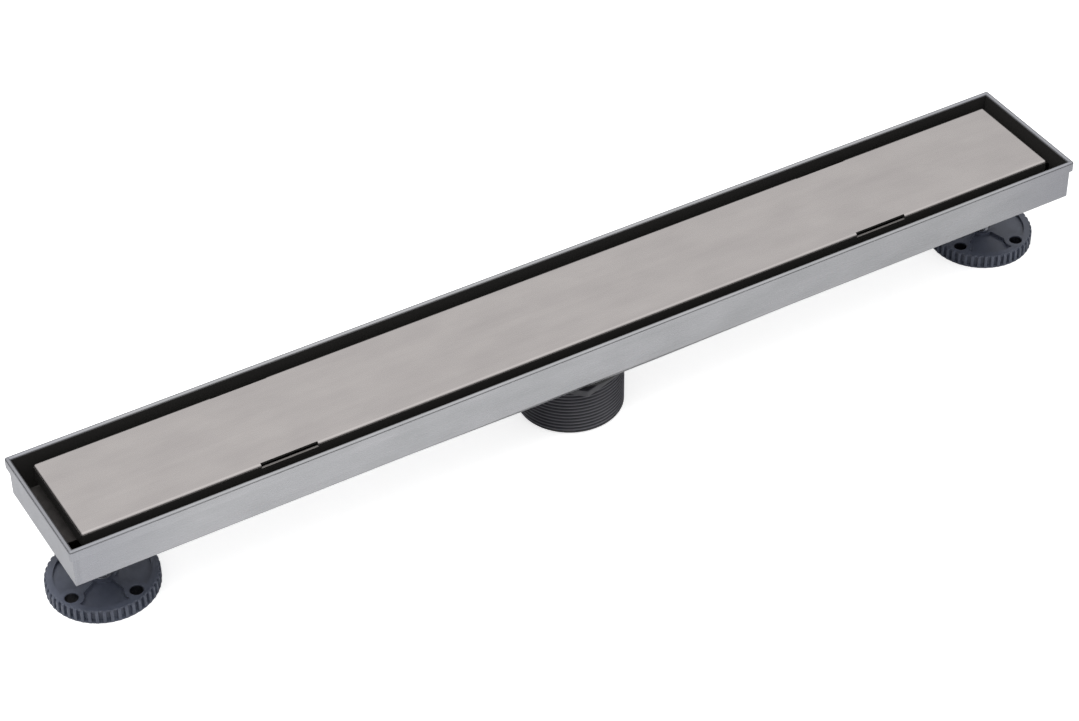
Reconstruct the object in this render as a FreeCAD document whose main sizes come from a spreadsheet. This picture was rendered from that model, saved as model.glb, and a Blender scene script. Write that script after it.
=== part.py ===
import FreeCAD, Part
import math
import os
import re

import Sketcher

# Linear shower drain, all lengths in millimetres.
# X runs along the drain, Z is up, and the origin lies under the middle of the drain,
# on the level of the undersides of its two feet.

SIZES = {
    # Channel: one sheet, folded up into four walls and closed by a hem along the rim
    "overall_length": 610.0,
    "overall_width": 81.0,
    "rim_height": 68.0,
    "sheet": 1.2,
    "channel_depth": 25.0,
    "rim_corner": 1.5,
    "hem_gap": 0.4,
    "hem_drop": 6.0,
    "hem_crown": 0.1,
    "floor_bend": 0.4,
    # Pressed fall of the floor towards the outlet
    "trough_length": 480.0,
    "trough_margin": 2.4,
    "trough_drop": 6.0,
    "seat_length": 70.0,
    "seat_room": 0.3,
    # Cover: a shallow tray that lies upside down in the channel
    "end_gap": 8.2,
    "side_gap": 7.8,
    "cover_sink": 1.4,
    "cover_height": 9.0,
    "cover_bend": 0.3,
    "slot_place": 180.5,
    "slot_length": 32.0,
    "slot_inset": 1.5,
    "slot_drop": 2.4,
    # What carries the cover
    "ledge_width": 45.0,
    "ledge_reach": 14.0,
    "ledge_leg": 10.0,
    "bracket_bend": 0.4,
    "bridge_place": 120.0,
    "bridge_length": 14.0,
    "bridge_margin": 1.0,
    "bridge_clearance": 0.5,
    # Outlet: pipe thread below a hexagon collar, finer thread above it
    "thread_radius": 29.7,
    "thread_lead": 1.0,
    "spigot_length": 29.4,
    "spigot_bore": 25.2,
    "collar_across": 60.8,
    "collar_height": 4.0,
    "collar_turn": 15.5,
    "neck_radius": 26.0,
    "neck_bore": 23.2,
    "neck_lead": 0.8,
    "neck_proud": 1.2,
    "hole_clearance": 0.6,
    "thread_clearance": 0.1,
    # Seal and clamp of the outlet
    "gasket_radius": 32.0,
    "gasket_thick": 3.0,
    "washer_thick": 1.0,
    "clamp_radius": 31.5,
    "clamp_height": 6.0,
    "clamp_notches": 8,
    "notch_width": 5.0,
    "notch_depth": 2.2,
    # Hair strainer: a slotted dish with a knob
    "strainer_sheet": 0.8,
    "strainer_clearance": 0.8,
    "dish_depth": 10.0,
    "dish_taper": 2.0,
    "dish_slots": 12,
    "dish_slot_width": 3.0,
    "dish_slot_height": 5.0,
    "floor_slots": 12,
    "floor_slot_width": 2.0,
    "floor_web": 3.0,
    "floor_rim": 1.6,
    "grip_stem": 2.5,
    "grip_flange": 4.0,
    "grip_head": 6.0,
    "grip_head_height": 4.0,
    "grip_height": 14.0,
    "rivet_height": 0.8,
    "rivet_clearance": 0.05,
    # Feet: a ribbed disc on a threaded stud, under each end of the channel
    "foot_inset": 29.0,
    "disc_radius": 29.6,
    "disc_height": 8.0,
    "rib_count": 48,
    "rib_depth": 0.8,
    "rib_width": 2.2,
    "rib_height": 5.5,
    "bevel_run": 2.4,
    "disc_turn": 69.0,
    "hub_radius": 8.6,
    "pocket_count": 2,
    "pocket_radius": 26.0,
    "pocket_angle": 55.0,
    "pocket_depth": 1.6,
    "screw_count": 4,
    "screw_turn": 45.0,
    "screw_circle": 46.0,
    "screw_radius": 3.6,
    "core_inner": 11.0,
    "core_outer": 18.0,
    "core_depth": 3.5,
    "socket_floor": 2.0,
    "seat_clearance": 0.05,
    "stud_radius": 5.0,
    "stud_top": 36.0,
    "stud_lead": 1.0,
    "stud_clearance": 0.06,
    "sleeve_across": 16.0,
    "sleeve_length": 20.0,
    "lock_nut_height": 5.0,
    "nut_lead": 0.6,
    "nut_lead_height": 0.9,
}

# Sizes and levels that follow from the ones above
DERIVED = {
    "hem_thick": "2 * sheet + hem_gap",
    "hem_roll": "(hem_thick - hem_crown) / 2",
    "hem_under": "rim_height - hem_drop",
    "wall_length": "overall_length - 2 * (hem_thick - sheet)",
    "wall_width": "overall_width - 2 * (hem_thick - sheet)",
    "opening_length": "overall_length - 2 * hem_thick",
    "opening_width": "overall_width - 2 * hem_thick",
    "floor_under": "rim_height - channel_depth",
    "floor_top": "floor_under + sheet",
    "seat_under": "floor_under - trough_drop",
    "seat_top": "seat_under + sheet",
    "seat_width": "2 * (clamp_radius + sheet + seat_room)",
    "trough_width": "max(wall_width - 2 * trough_margin; seat_width)",
    "flank_run": "(trough_width - seat_width) / 2",
    "flank_inset": "sheet * (sqrt(flank_run ^ 2 + trough_drop ^ 2) - flank_run) / trough_drop",
    "cover_length": "opening_length - 2 * end_gap",
    "cover_width": "opening_width - 2 * side_gap",
    "cover_top": "rim_height - cover_sink",
    "cover_under": "cover_top - cover_height",
    "slope_run": "trough_length / 2 - seat_length / 2",
    "slope_width": "seat_width + 2 * flank_run"
                   " * (bridge_place - bridge_length / 2 - seat_length / 2) / slope_run",
    "bridge_span": "min(cover_width + 2 * bridge_margin;"
                   " slope_width - 2 * (flank_inset + bridge_clearance))",
    "bridge_fall": "(trough_length / 2 - bridge_place - bridge_length / 2) * trough_drop / slope_run",
    "collar_top": "seat_under - gasket_thick",
    "collar_under": "collar_top - collar_height",
    "spigot_end": "collar_under - spigot_length",
    "hole_radius": "neck_radius + hole_clearance",
    "clamp_under": "seat_top + washer_thick",
    "clamp_top": "clamp_under + clamp_height",
    "neck_top": "clamp_top + neck_proud",
    "dish_radius": "neck_bore - strainer_clearance",
    "dish_under": "neck_top - dish_depth",
    "dish_floor": "dish_under + strainer_sheet",
    "foot_place": "overall_length / 2 - foot_inset",
    "socket_radius": "stud_radius + stud_clearance",
    "sleeve_under": "floor_under - sleeve_length",
    "lock_nut_under": "sleeve_under - lock_nut_height",
}

# The least volume that a cut takes away, and how far an edge may lie from its stated place
LEAST_CUT = 1e-6
PLACE_TOLERANCE = 1e-4

doc = FreeCAD.newDocument("shower_drain")
sheet_of_sizes = doc.addObject("Spreadsheet::Sheet", "sizes")
for row, (alias, value) in enumerate(SIZES.items(), start=1):
    sheet_of_sizes.set("A%d" % row, alias)
    sheet_of_sizes.set("B%d" % row, repr(value))
    sheet_of_sizes.setAlias("B%d" % row, alias)
doc.recompute()


def formula(text):
    """The text as an expression on the sheet, with each derived size written out."""

    def written_out(match):
        word = match.group(0)
        if word in DERIVED:
            return "(" + formula(DERIVED[word]) + ")"
        if word in SIZES:
            return "sizes." + word
        return word

    return re.sub(r"[a-z][a-z_]*", written_out, str(text))


def bind(item, **properties):
    """Bind properties of a feature to sizes; a double underscore stands for a dot."""
    for name, text in properties.items():
        item.setExpression(name.replace("__", "."), formula(text))


# Sketches


def new_body(label):
    piece = doc.addObject("PartDesign::Body", label)
    piece.Label = label
    return piece


def origin_part(piece, role):
    return [part for part in piece.Origin.OriginFeatures if part.Role == role][0]


def new_sketch(piece, name, plane, offset=0):
    """An empty sketch on an origin plane of the piece, moved along the plane's normal."""
    drawing = piece.newObject("Sketcher::SketchObject", name)
    drawing.AttachmentSupport = [(origin_part(piece, plane), "")]
    drawing.MapMode = "FlatFace"
    bind(drawing, AttachmentOffset__Base__z=offset)
    return drawing


def place(drawing, element, end, across, up):
    """Tie a point of a sketch to its distances from the sketch's origin."""
    for kind, text in (("DistanceX", across), ("DistanceY", up)):
        number = drawing.addConstraint(Sketcher.Constraint(kind, -1, 1, element, end, 1.0))
        drawing.setExpression("Constraints[%d]" % number, formula(text))


def polygon(drawing, corners):
    """A closed outline through the corners, each a pair of size expressions."""
    first = drawing.GeometryCount
    count = len(corners)
    ring = [
        FreeCAD.Vector(math.cos(2 * math.pi * k / count), math.sin(2 * math.pi * k / count), 0)
        for k in range(count)
    ]
    for k in range(count):
        drawing.addGeometry(Part.LineSegment(ring[k], ring[(k + 1) % count]))
    for k in range(count):
        following = first + (k + 1) % count
        drawing.addConstraint(Sketcher.Constraint("Coincident", first + k, 2, following, 1))
    for k, (across, up) in enumerate(corners):
        place(drawing, first + k, 1, across, up)


def rectangle(drawing, length, width):
    """A rectangle centred on the sketch's origin."""
    half_length = "(%s) / 2" % length
    half_width = "(%s) / 2" % width
    polygon(drawing, [
        ("-" + half_length, "-" + half_width),
        (half_length, "-" + half_width),
        (half_length, half_width),
        ("-" + half_length, half_width),
    ])


def circle(drawing, radius, across=0, up=0):
    number = drawing.addGeometry(Part.Circle(FreeCAD.Vector(), FreeCAD.Vector(0, 0, 1), 1.0))
    place(drawing, number, 3, across, up)
    constraint = drawing.addConstraint(Sketcher.Constraint("Radius", number, 1.0))
    drawing.setExpression("Constraints[%d]" % constraint, formula(radius))


def hexagon(drawing, across_flats, turn=0):
    """A hexagon given across its flats, with one corner at the angle turn."""
    corner = "(%s) / (2 * cos(30))" % across_flats
    polygon(drawing, [
        ("%s * cos(%s + %d)" % (corner, turn, 60 * k), "%s * sin(%s + %d)" % (corner, turn, 60 * k))
        for k in range(6)
    ])


# Features


def pad(piece, drawing, height, both_ways=False):
    feature = piece.newObject("PartDesign::Pad", drawing.Name + "_pad")
    feature.Profile = drawing
    if both_ways:
        feature.SideType = "Symmetric"
    bind(feature, Length=height)
    doc.recompute()
    return feature


def pocket(piece, drawing, depth=None, forwards=False):
    """Cut against the sketch's normal, or along it; without a depth it goes right through."""
    feature = piece.newObject("PartDesign::Pocket", drawing.Name + "_pocket")
    feature.Profile = drawing
    feature.Reversed = forwards
    if depth is None:
        feature.Type = "ThroughAll"
    else:
        bind(feature, Length=depth)
    doc.recompute()
    return expect_less(piece, feature)


def expect_less(piece, feature):
    """Stop the build where a cut has taken nothing away."""
    if feature.Shape.Volume >= feature.BaseFeature.Shape.Volume - LEAST_CUT:
        raise RuntimeError(piece.Label + ": " + feature.Name + " cuts nothing")
    return feature


def revolve(piece, drawing, angle="360", kind="Revolution"):
    """Turn a profile of radius and height about the upright axis of its sketch."""
    feature = piece.newObject("PartDesign::" + kind, drawing.Name + "_" + kind.lower())
    feature.Profile = drawing
    feature.ReferenceAxis = (drawing, ["V_Axis"])
    feature.Midplane = angle != "360"
    bind(feature, Angle=angle)
    doc.recompute()
    if kind == "Groove":
        expect_less(piece, feature)
    return feature


def loft(piece, first, last, kind):
    feature = piece.newObject("PartDesign::" + kind, first.Name + "_loft")
    feature.Profile = first
    feature.Sections = [last]
    feature.Ruled = True
    doc.recompute()
    return feature


def around(piece, feature, count):
    """Repeat a feature evenly about the upright axis of the piece."""
    pattern = piece.newObject("PartDesign::PolarPattern", feature.Name + "_around")
    pattern.Originals = [feature]
    pattern.Axis = (origin_part(piece, "Z_Axis"), [""])
    pattern.Angle = 360
    bind(pattern, Occurrences=count)
    piece.Tip = pattern
    doc.recompute()
    return pattern


def fillet(piece, name, radius, wanted):
    """Round the edges of the piece for which wanted(edge) holds."""
    base = piece.Tip
    names = [
        "Edge%d" % number
        for number, edge in enumerate(base.Shape.Edges, start=1)
        if wanted(edge)
    ]
    if not names:
        raise RuntimeError(piece.Label + ": " + name + " finds no edge")
    feature = piece.newObject("PartDesign::Fillet", name)
    feature.Base = (base, names)
    bind(feature, Radius=radius)
    doc.recompute()
    return feature


def value(text):
    """A derived or driving size as a number, for finding edges by their place."""
    return float(sheet_of_sizes.evalExpression(formula(text).replace("sizes.", "")))


def level_at(edge, height):
    """Whether an edge lies flat at a height."""
    box = edge.BoundBox
    return abs(box.ZMin - height) < PLACE_TOLERANCE and abs(box.ZMax - height) < PLACE_TOLERANCE


def upright(edge):
    box = edge.BoundBox
    return box.XLength < PLACE_TOLERANCE and box.YLength < PLACE_TOLERANCE and box.ZLength > PLACE_TOLERANCE


# Channel: walls and floor from one sheet, the hem folded outwards and down over the walls


def make_channel():
    piece = new_body("channel")
    rim = value("rim_height")

    walls = new_sketch(piece, "channel_walls", "XY_Plane", "floor_under")
    rectangle(walls, "wall_length", "wall_width")
    pad(piece, walls, "channel_depth")
    fillet(piece, "channel_outer_bend", "floor_bend + sheet",
           lambda edge: level_at(edge, value("floor_under")))

    hem = new_sketch(piece, "channel_hem", "XY_Plane", "hem_under")
    rectangle(hem, "overall_length", "overall_width")
    pad(piece, hem, "hem_drop")
    fillet(piece, "channel_rim_corners", "rim_corner",
           lambda edge: upright(edge) and abs(edge.BoundBox.ZMax - rim) < PLACE_TOLERANCE)

    fall = new_sketch(piece, "channel_fall_outside", "XY_Plane", "floor_under")
    rectangle(fall, "trough_length", "trough_width")
    seat = new_sketch(piece, "channel_seat_outside", "XY_Plane", "seat_under")
    rectangle(seat, "seat_length", "seat_width")
    loft(piece, fall, seat, "AdditiveLoft")

    inside = new_sketch(piece, "channel_inside", "XY_Plane", "rim_height")
    rectangle(inside, "opening_length", "opening_width")
    pocket(piece, inside, "channel_depth - sheet")
    fillet(piece, "channel_inner_bend", "floor_bend",
           lambda edge: level_at(edge, value("floor_top")))

    fall = new_sketch(piece, "channel_fall_inside", "XY_Plane", "floor_top")
    rectangle(fall, "trough_length", "trough_width - 2 * flank_inset")
    seat = new_sketch(piece, "channel_seat_inside", "XY_Plane", "seat_top")
    rectangle(seat, "seat_length", "seat_width - 2 * flank_inset")
    expect_less(piece, loft(piece, fall, seat, "SubtractiveLoft"))

    hole = new_sketch(piece, "channel_outlet_hole", "XY_Plane", "seat_top")
    circle(hole, "hole_radius")
    pocket(piece, hole)

    fold = new_sketch(piece, "channel_hem_fold", "XY_Plane", "hem_under")
    rectangle(fold, "overall_length - 2 * sheet", "overall_width - 2 * sheet")
    rectangle(fold, "wall_length", "wall_width")
    pocket(piece, fold, "hem_drop - sheet", forwards=True)

    fillet(piece, "channel_hem_roll", "hem_roll", lambda edge: level_at(edge, rim))
    return piece


# Cover: a tray with turned-down edges, slotted across the bends of its long sides


def make_cover():
    piece = new_body("cover")
    top = value("cover_top")

    tray = new_sketch(piece, "cover_tray", "XY_Plane", "cover_under")
    rectangle(tray, "cover_length", "cover_width")
    pad(piece, tray, "cover_height")
    fillet(piece, "cover_outer_bend", "cover_bend + sheet",
           lambda edge: upright(edge) or level_at(edge, top))

    inside = new_sketch(piece, "cover_inside", "XY_Plane", "cover_under")
    rectangle(inside, "cover_length - 2 * sheet", "cover_width - 2 * sheet")
    pocket(piece, inside, "cover_height - sheet", forwards=True)
    fillet(piece, "cover_inner_bend", "cover_bend",
           lambda edge: level_at(edge, value("cover_top - sheet")))

    slots = new_sketch(piece, "cover_slots", "XY_Plane", "cover_top")
    for along in ("-slot_place", "slot_place"):
        for side in ("-", ""):
            inner = "%s(cover_width / 2 - slot_inset)" % side
            outer = "%s(cover_width / 2 + slot_inset)" % side
            polygon(slots, [
                (along + " - slot_length / 2", inner),
                (along + " + slot_length / 2", inner),
                (along + " + slot_length / 2", outer),
                (along + " - slot_length / 2", outer),
            ])
    pocket(piece, slots, "slot_drop")
    return piece


# Supports of the cover: a ledge on each end wall, and bridges that stand on the floor


def make_end_ledge(label, sign):
    piece = new_body(label)
    wall = sign + "(opening_length / 2)"
    tip = sign + "(opening_length / 2 - ledge_reach)"
    inner = sign + "(opening_length / 2 - sheet)"
    profile = new_sketch(piece, label + "_profile", "XZ_Plane")
    polygon(profile, [
        (wall, "cover_under"),
        (tip, "cover_under"),
        (tip, "cover_under - sheet"),
        (inner, "cover_under - sheet"),
        (inner, "cover_under - ledge_leg"),
        (wall, "cover_under - ledge_leg"),
    ])
    pad(piece, profile, "ledge_width", both_ways=True)
    wall_face = abs(value("opening_length / 2"))
    fillet(piece, label + "_bend", "bracket_bend + sheet",
           lambda edge: level_at(edge, value("cover_under"))
           and abs(abs(edge.CenterOfMass.x) - wall_face) < PLACE_TOLERANCE)
    return piece


def make_cover_bridge(label, sign):
    piece = new_body(label)
    outer = "bridge_span / 2"
    inner = "(bridge_span / 2 - sheet)"
    foot = "floor_top - bridge_fall"
    profile = new_sketch(piece, label + "_profile", "YZ_Plane", sign + "bridge_place")
    polygon(profile, [
        ("-" + outer, foot),
        ("-" + outer, "cover_under"),
        (outer, "cover_under"),
        (outer, foot),
        (inner, foot),
        (inner, "cover_under - sheet"),
        ("-" + inner, "cover_under - sheet"),
        ("-" + inner, foot),
    ])
    pad(piece, profile, "bridge_length", both_ways=True)
    half_span = value("bridge_span / 2")
    fillet(piece, label + "_bend", "bracket_bend + sheet",
           lambda edge: level_at(edge, value("cover_under"))
           and abs(abs(edge.CenterOfMass.y) - half_span) < PLACE_TOLERANCE)
    return piece


# Outlet: turned and moulded pieces about the upright axis


def make_outlet_body():
    piece = new_body("outlet_body")
    profile = new_sketch(piece, "outlet_profile", "XZ_Plane")
    polygon(profile, [
        ("spigot_bore", "spigot_end"),
        ("thread_radius - thread_lead", "spigot_end"),
        ("thread_radius", "spigot_end + thread_lead"),
        ("thread_radius", "collar_top"),
        ("neck_radius", "collar_top"),
        ("neck_radius", "neck_top - neck_lead"),
        ("neck_radius - neck_lead", "neck_top"),
        ("neck_bore", "neck_top"),
        ("neck_bore", "collar_top"),
        ("spigot_bore", "collar_under"),
    ])
    revolve(piece, profile)
    collar = new_sketch(piece, "outlet_collar", "XY_Plane", "collar_under")
    hexagon(collar, "collar_across", "collar_turn")
    circle(collar, "thread_radius - thread_lead")
    pad(piece, collar, "collar_height")
    return piece


def make_ring(label, outer, inner, bottom, height):
    """A flat ring about the upright axis."""
    piece = new_body(label)
    face = new_sketch(piece, label + "_face", "XY_Plane", bottom)
    circle(face, outer)
    circle(face, inner)
    pad(piece, face, height)
    return piece


def make_ring_nut():
    piece = make_ring("outlet_ring_nut", "clamp_radius", "neck_radius + thread_clearance",
                      "clamp_under", "clamp_height")
    notch = new_sketch(piece, "ring_nut_notch", "XY_Plane", "clamp_top")
    polygon(notch, [
        ("clamp_radius - notch_depth", "-notch_width / 2"),
        ("clamp_radius + notch_depth", "-notch_width / 2"),
        ("clamp_radius + notch_depth", "notch_width / 2"),
        ("clamp_radius - notch_depth", "notch_width / 2"),
    ])
    around(piece, pocket(piece, notch), "clamp_notches")
    return piece


# Hair strainer: a dish with a flange, slotted in its wall and in rays across its floor


def make_hair_strainer():
    piece = new_body("hair_strainer")
    profile = new_sketch(piece, "strainer_profile", "XZ_Plane")
    polygon(profile, [
        ("neck_radius", "neck_top"),
        ("neck_radius", "neck_top + strainer_sheet"),
        ("dish_radius - strainer_sheet", "neck_top + strainer_sheet"),
        ("dish_radius - dish_taper - strainer_sheet", "dish_floor"),
        ("grip_stem + rivet_clearance", "dish_floor"),
        ("grip_stem + rivet_clearance", "dish_under"),
        ("dish_radius - dish_taper", "dish_under"),
        ("dish_radius", "neck_top"),
    ])
    revolve(piece, profile)

    slot = new_sketch(piece, "strainer_slot", "XZ_Plane")
    middle = "(neck_top + dish_under) / 2"
    polygon(slot, [
        ("-dish_slot_width / 2", middle + " - dish_slot_height / 2"),
        ("dish_slot_width / 2", middle + " - dish_slot_height / 2"),
        ("dish_slot_width / 2", middle + " + dish_slot_height / 2"),
        ("-dish_slot_width / 2", middle + " + dish_slot_height / 2"),
    ])
    around(piece, pocket(piece, slot), "dish_slots")

    ray = new_sketch(piece, "strainer_floor_slot", "XY_Plane", "dish_floor")
    start = "grip_flange + floor_web"
    end = "dish_radius - dish_taper - strainer_sheet - floor_rim"
    polygon(ray, [
        (start, "-floor_slot_width / 2"),
        (end, "-floor_slot_width / 2"),
        (end, "floor_slot_width / 2"),
        (start, "floor_slot_width / 2"),
    ])
    around(piece, pocket(piece, ray), "floor_slots")
    return piece


def make_strainer_grip():
    """A turned knob whose tail is riveted through the floor of the dish."""
    piece = new_body("strainer_grip")
    rivet = "dish_under - rivet_height"
    profile = new_sketch(piece, "grip_profile", "XZ_Plane")
    polygon(profile, [
        ("0", rivet),
        ("grip_flange", rivet),
        ("grip_flange", "dish_under"),
        ("grip_stem", "dish_under"),
        ("grip_stem", "dish_floor + grip_height - grip_head_height"),
        ("grip_head", "dish_floor + grip_height - grip_head_height / 2"),
        ("grip_head", "dish_floor + grip_height"),
        ("0", "dish_floor + grip_height"),
    ])
    revolve(piece, profile)
    return piece


# Feet


def make_foot_disc(label, sign):
    """A moulded disc with ribs that run up its bevel, two pockets and four screw holes."""
    piece = new_body(label)
    root = "(disc_radius - rib_depth)"
    core = new_sketch(piece, label + "_core", "XZ_Plane")
    polygon(core, [
        ("0", "0"),
        (root, "0"),
        (root, "rib_height"),
        (root + " - bevel_run", "disc_height"),
        ("0", "disc_height"),
    ])
    revolve(piece, core)

    rib = new_sketch(piece, label + "_rib", "XZ_Plane")
    polygon(rib, [
        ("disc_radius - 2 * bevel_run", "0"),
        ("disc_radius", "0"),
        ("disc_radius", "rib_height"),
        ("disc_radius - bevel_run", "disc_height"),
        ("disc_radius - 2 * bevel_run", "disc_height"),
    ])
    around(piece, pad(piece, rib, "rib_width", both_ways=True), "rib_count")

    sector = new_sketch(piece, label + "_sector", "XZ_Plane")
    polygon(sector, [
        ("hub_radius", "disc_height - pocket_depth"),
        ("pocket_radius", "disc_height - pocket_depth"),
        ("pocket_radius", "disc_height + pocket_depth"),
        ("hub_radius", "disc_height + pocket_depth"),
    ])
    around(piece, revolve(piece, sector, "pocket_angle", "Groove"), "pocket_count")

    screw = new_sketch(piece, label + "_screw_hole", "XY_Plane", "disc_height")
    circle(screw, "screw_radius",
           "screw_circle / 2 * cos(screw_turn)", "screw_circle / 2 * sin(screw_turn)")
    around(piece, pocket(piece, screw), "screw_count")

    cored = new_sketch(piece, label + "_cored_ring", "XY_Plane")
    circle(cored, "core_outer")
    circle(cored, "core_inner")
    pocket(piece, cored, "core_depth", forwards=True)

    socket = new_sketch(piece, label + "_socket", "XY_Plane", "disc_height")
    circle(socket, "socket_radius")
    pocket(piece, socket, "disc_height - socket_floor")

    stand(piece, sign)
    piece.Placement.Rotation = FreeCAD.Rotation(FreeCAD.Vector(0, 0, 1), 1)
    bind(piece, Placement__Rotation__Angle="disc_turn")
    return piece


def stand(piece, sign):
    """Put a piece of a foot on the foot's axis, left or right of the middle."""
    bind(piece, Placement__Base__x=sign + "foot_place")


def make_foot_stud(label, sign):
    piece = new_body(label)
    end = "socket_floor + seat_clearance"
    profile = new_sketch(piece, label + "_profile", "XZ_Plane")
    polygon(profile, [
        ("0", end),
        ("stud_radius - stud_lead", end),
        ("stud_radius", end + " + stud_lead"),
        ("stud_radius", "stud_top - stud_lead"),
        ("stud_radius - stud_lead", "stud_top"),
        ("0", "stud_top"),
    ])
    revolve(piece, profile)
    stand(piece, sign)
    return piece


def make_hexagon_nut(label, sign, bottom, height):
    """A nut or sleeve on a foot's axis, with the corners of its lower end turned off."""
    piece = new_body(label)
    corner = "sleeve_across / (2 * cos(30))"
    prism = new_sketch(piece, label + "_prism", "XY_Plane", bottom)
    hexagon(prism, "sleeve_across")
    circle(prism, "socket_radius")
    pad(piece, prism, height)
    lead = new_sketch(piece, label + "_lead", "XZ_Plane")
    polygon(lead, [
        ("sleeve_across / 2", bottom),
        (corner + " + nut_lead", bottom),
        (corner + " + nut_lead", bottom + " + nut_lead_height"),
    ])
    revolve(piece, lead, "360", "Groove")
    stand(piece, sign)
    return piece


def make_foot(side, sign):
    return [
        make_foot_disc("foot_disc_" + side, sign),
        make_foot_stud("foot_stud_" + side, sign),
        make_hexagon_nut("foot_sleeve_" + side, sign, "sleeve_under", "sleeve_length"),
        make_hexagon_nut("foot_lock_nut_" + side, sign, "lock_nut_under", "lock_nut_height"),
    ]


pieces = [
    make_channel(),
    make_cover(),
    make_end_ledge("end_ledge_left", "-"),
    make_end_ledge("end_ledge_right", ""),
    make_cover_bridge("cover_bridge_left", "-"),
    make_cover_bridge("cover_bridge_right", ""),
    make_outlet_body(),
    make_ring("outlet_gasket", "gasket_radius", "hole_radius", "collar_top", "gasket_thick"),
    make_ring("outlet_washer", "clamp_radius", "hole_radius", "seat_top", "washer_thick"),
    make_ring_nut(),
    make_hair_strainer(),
    make_strainer_grip(),
]
for side, sign in (("left", "-"), ("right", "")):
    pieces.extend(make_foot(side, sign))
doc.recompute()

# Every feature has to be built, and every piece one valid solid, before a file is written
for item in doc.Objects:
    if "Invalid" in item.State or "Error" in item.State:
        raise RuntimeError(item.Name + " failed: " + ", ".join(item.State))
for piece in pieces:
    shape = piece.Shape
    if shape.isNull() or not shape.isValid() or len(shape.Solids) != 1:
        raise RuntimeError(piece.Label + " is not one valid solid")

os.makedirs("parts", exist_ok=True)
for piece in pieces:
    piece.Shape.exportStep(os.path.join("parts", piece.Label + ".step"))
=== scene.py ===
import math

import bpy
from mathutils import Matrix, Vector


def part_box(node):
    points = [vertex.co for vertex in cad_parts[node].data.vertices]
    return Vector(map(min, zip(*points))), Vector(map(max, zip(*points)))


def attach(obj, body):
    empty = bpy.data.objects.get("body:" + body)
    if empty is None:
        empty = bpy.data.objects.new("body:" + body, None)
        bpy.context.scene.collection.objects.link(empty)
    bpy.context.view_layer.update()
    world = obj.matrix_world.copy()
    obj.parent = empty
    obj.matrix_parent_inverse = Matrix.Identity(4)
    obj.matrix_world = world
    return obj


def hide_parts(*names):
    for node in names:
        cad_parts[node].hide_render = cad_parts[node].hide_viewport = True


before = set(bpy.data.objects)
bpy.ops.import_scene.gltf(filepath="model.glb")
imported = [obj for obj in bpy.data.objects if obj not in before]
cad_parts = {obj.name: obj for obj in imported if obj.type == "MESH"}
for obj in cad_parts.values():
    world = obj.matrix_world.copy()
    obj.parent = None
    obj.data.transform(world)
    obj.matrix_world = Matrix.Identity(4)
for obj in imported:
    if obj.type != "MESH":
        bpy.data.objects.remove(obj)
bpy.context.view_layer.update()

# Linear shower drain: stainless channel with a reversible cover, a threaded plastic outlet
# under its middle and two ribbed feet. Lengths are in metres unless a name says otherwise.

MM = 0.001
UP = Vector((0, 0, 1))
TURN = 2 * math.pi


def node_box(name):
    """A node's lowest and highest corners at rest."""
    low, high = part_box(name)
    return Vector(low), Vector(high)


# Sizes read from the frame

channel_high = node_box("channel")[1]
cover_high = node_box("cover")[1]
outlet_low, outlet_high = node_box("outlet_body")
disc_low, disc_high = node_box("foot_disc_right")
stud_low, stud_high = node_box("foot_stud_right")
FOOT_X = (disc_low.x + disc_high.x) / 2
DISC_RADIUS = (disc_high.x - disc_low.x) / 2
DISC_TOP = disc_high.z
STUD_RADIUS = (stud_high.x - stud_low.x) / 2

# Sizes of the channel and its cover; the painted shade near the welds is measured from the ends

SHEET = 1.2 * MM
HEM_THICK = 2.8 * MM
CHANNEL_DEPTH = 25 * MM
# How far within the rim the near-black painted shade starts
SHADE_INSET = 0.05 * MM
WELD_BAND = 3.5 * MM
END_SHADE_START = 65 * MM
END_SHADE_STOP = 10 * MM
BARE_BEND = 1.1 * MM
SKIRT_DEPTH = 1.0 * MM

# Sizes of the outlet: pipe thread below a hexagon collar, fine-threaded neck above it

THREAD_RADIUS = 29.7 * MM
PIPE_PITCH = 25.4 * MM / 11.5
PIPE_DEPTH = 1.5 * MM
PIPE_LEAD = 1.0 * MM
PIPE_START = 0.05 * MM
SPIGOT_BORE = 25.2 * MM
BORE_BREAK = 0.6 * MM
SPIGOT_BREAK = 0.4 * MM
COLLAR_LOW = 30 * MM
COLLAR_HIGH = 34 * MM
COLLAR_ACROSS = 60.8 * MM
COLLAR_TURN = math.radians(15.5)
COLLAR_BREAK = 0.5 * MM
NECK_RADIUS = 26 * MM
NECK_PITCH = 1.5 * MM
NECK_DEPTH = 0.8 * MM
NECK_LEAD = 0.1 * MM
NECK_BORE = 23.2 * MM
NECK_BREAK = 0.5 * MM
NECK_PLAIN_BELOW = 2.0 * MM
NECK_PLAIN_ABOVE = 0.8 * MM
OUTLET_STEPS = 128
NECK_STEPS = 96

# Sizes of the foot discs

DISC_TURN = math.radians(69)
DISC_STEPS = 192
RIB_COUNT = 48
RIB_WIDTH = 1.85 * MM
RIB_CORNER = 0.35 * MM
RIB_ROUND = 1.6 * MM
RIB_BREAK = 0.3 * MM
RIB_SINK = 0.02 * MM
RIB_REACH_IN = 2.1 * MM
SLOT_RADIUS = DISC_RADIUS - 1.8 * MM
SLOT_TOP = DISC_TOP - 2.4 * MM
RUNOUT_WIDTH = 0.4 * MM
RUNOUT_HEIGHT = 0.9 * MM
FLANGE_RADIUS = DISC_RADIUS - 0.2 * MM
FLANGE_HEIGHT = 0.8 * MM
FLANGE_FALL = 0.4 * MM
FLANGE_BREAK = 0.2 * MM
EDGE_LOW = DISC_TOP - 0.9 * MM
EDGE_ROUND_WIDTH = 0.7 * MM
EDGE_ROUND_HEIGHT = 0.5 * MM
CORE_INNER = 11 * MM
CORE_OUTER = 18 * MM
CORE_DEPTH = 3.5 * MM
SOCKET_RADIUS = 5.06 * MM
SOCKET_BREAK = 0.4 * MM
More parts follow.
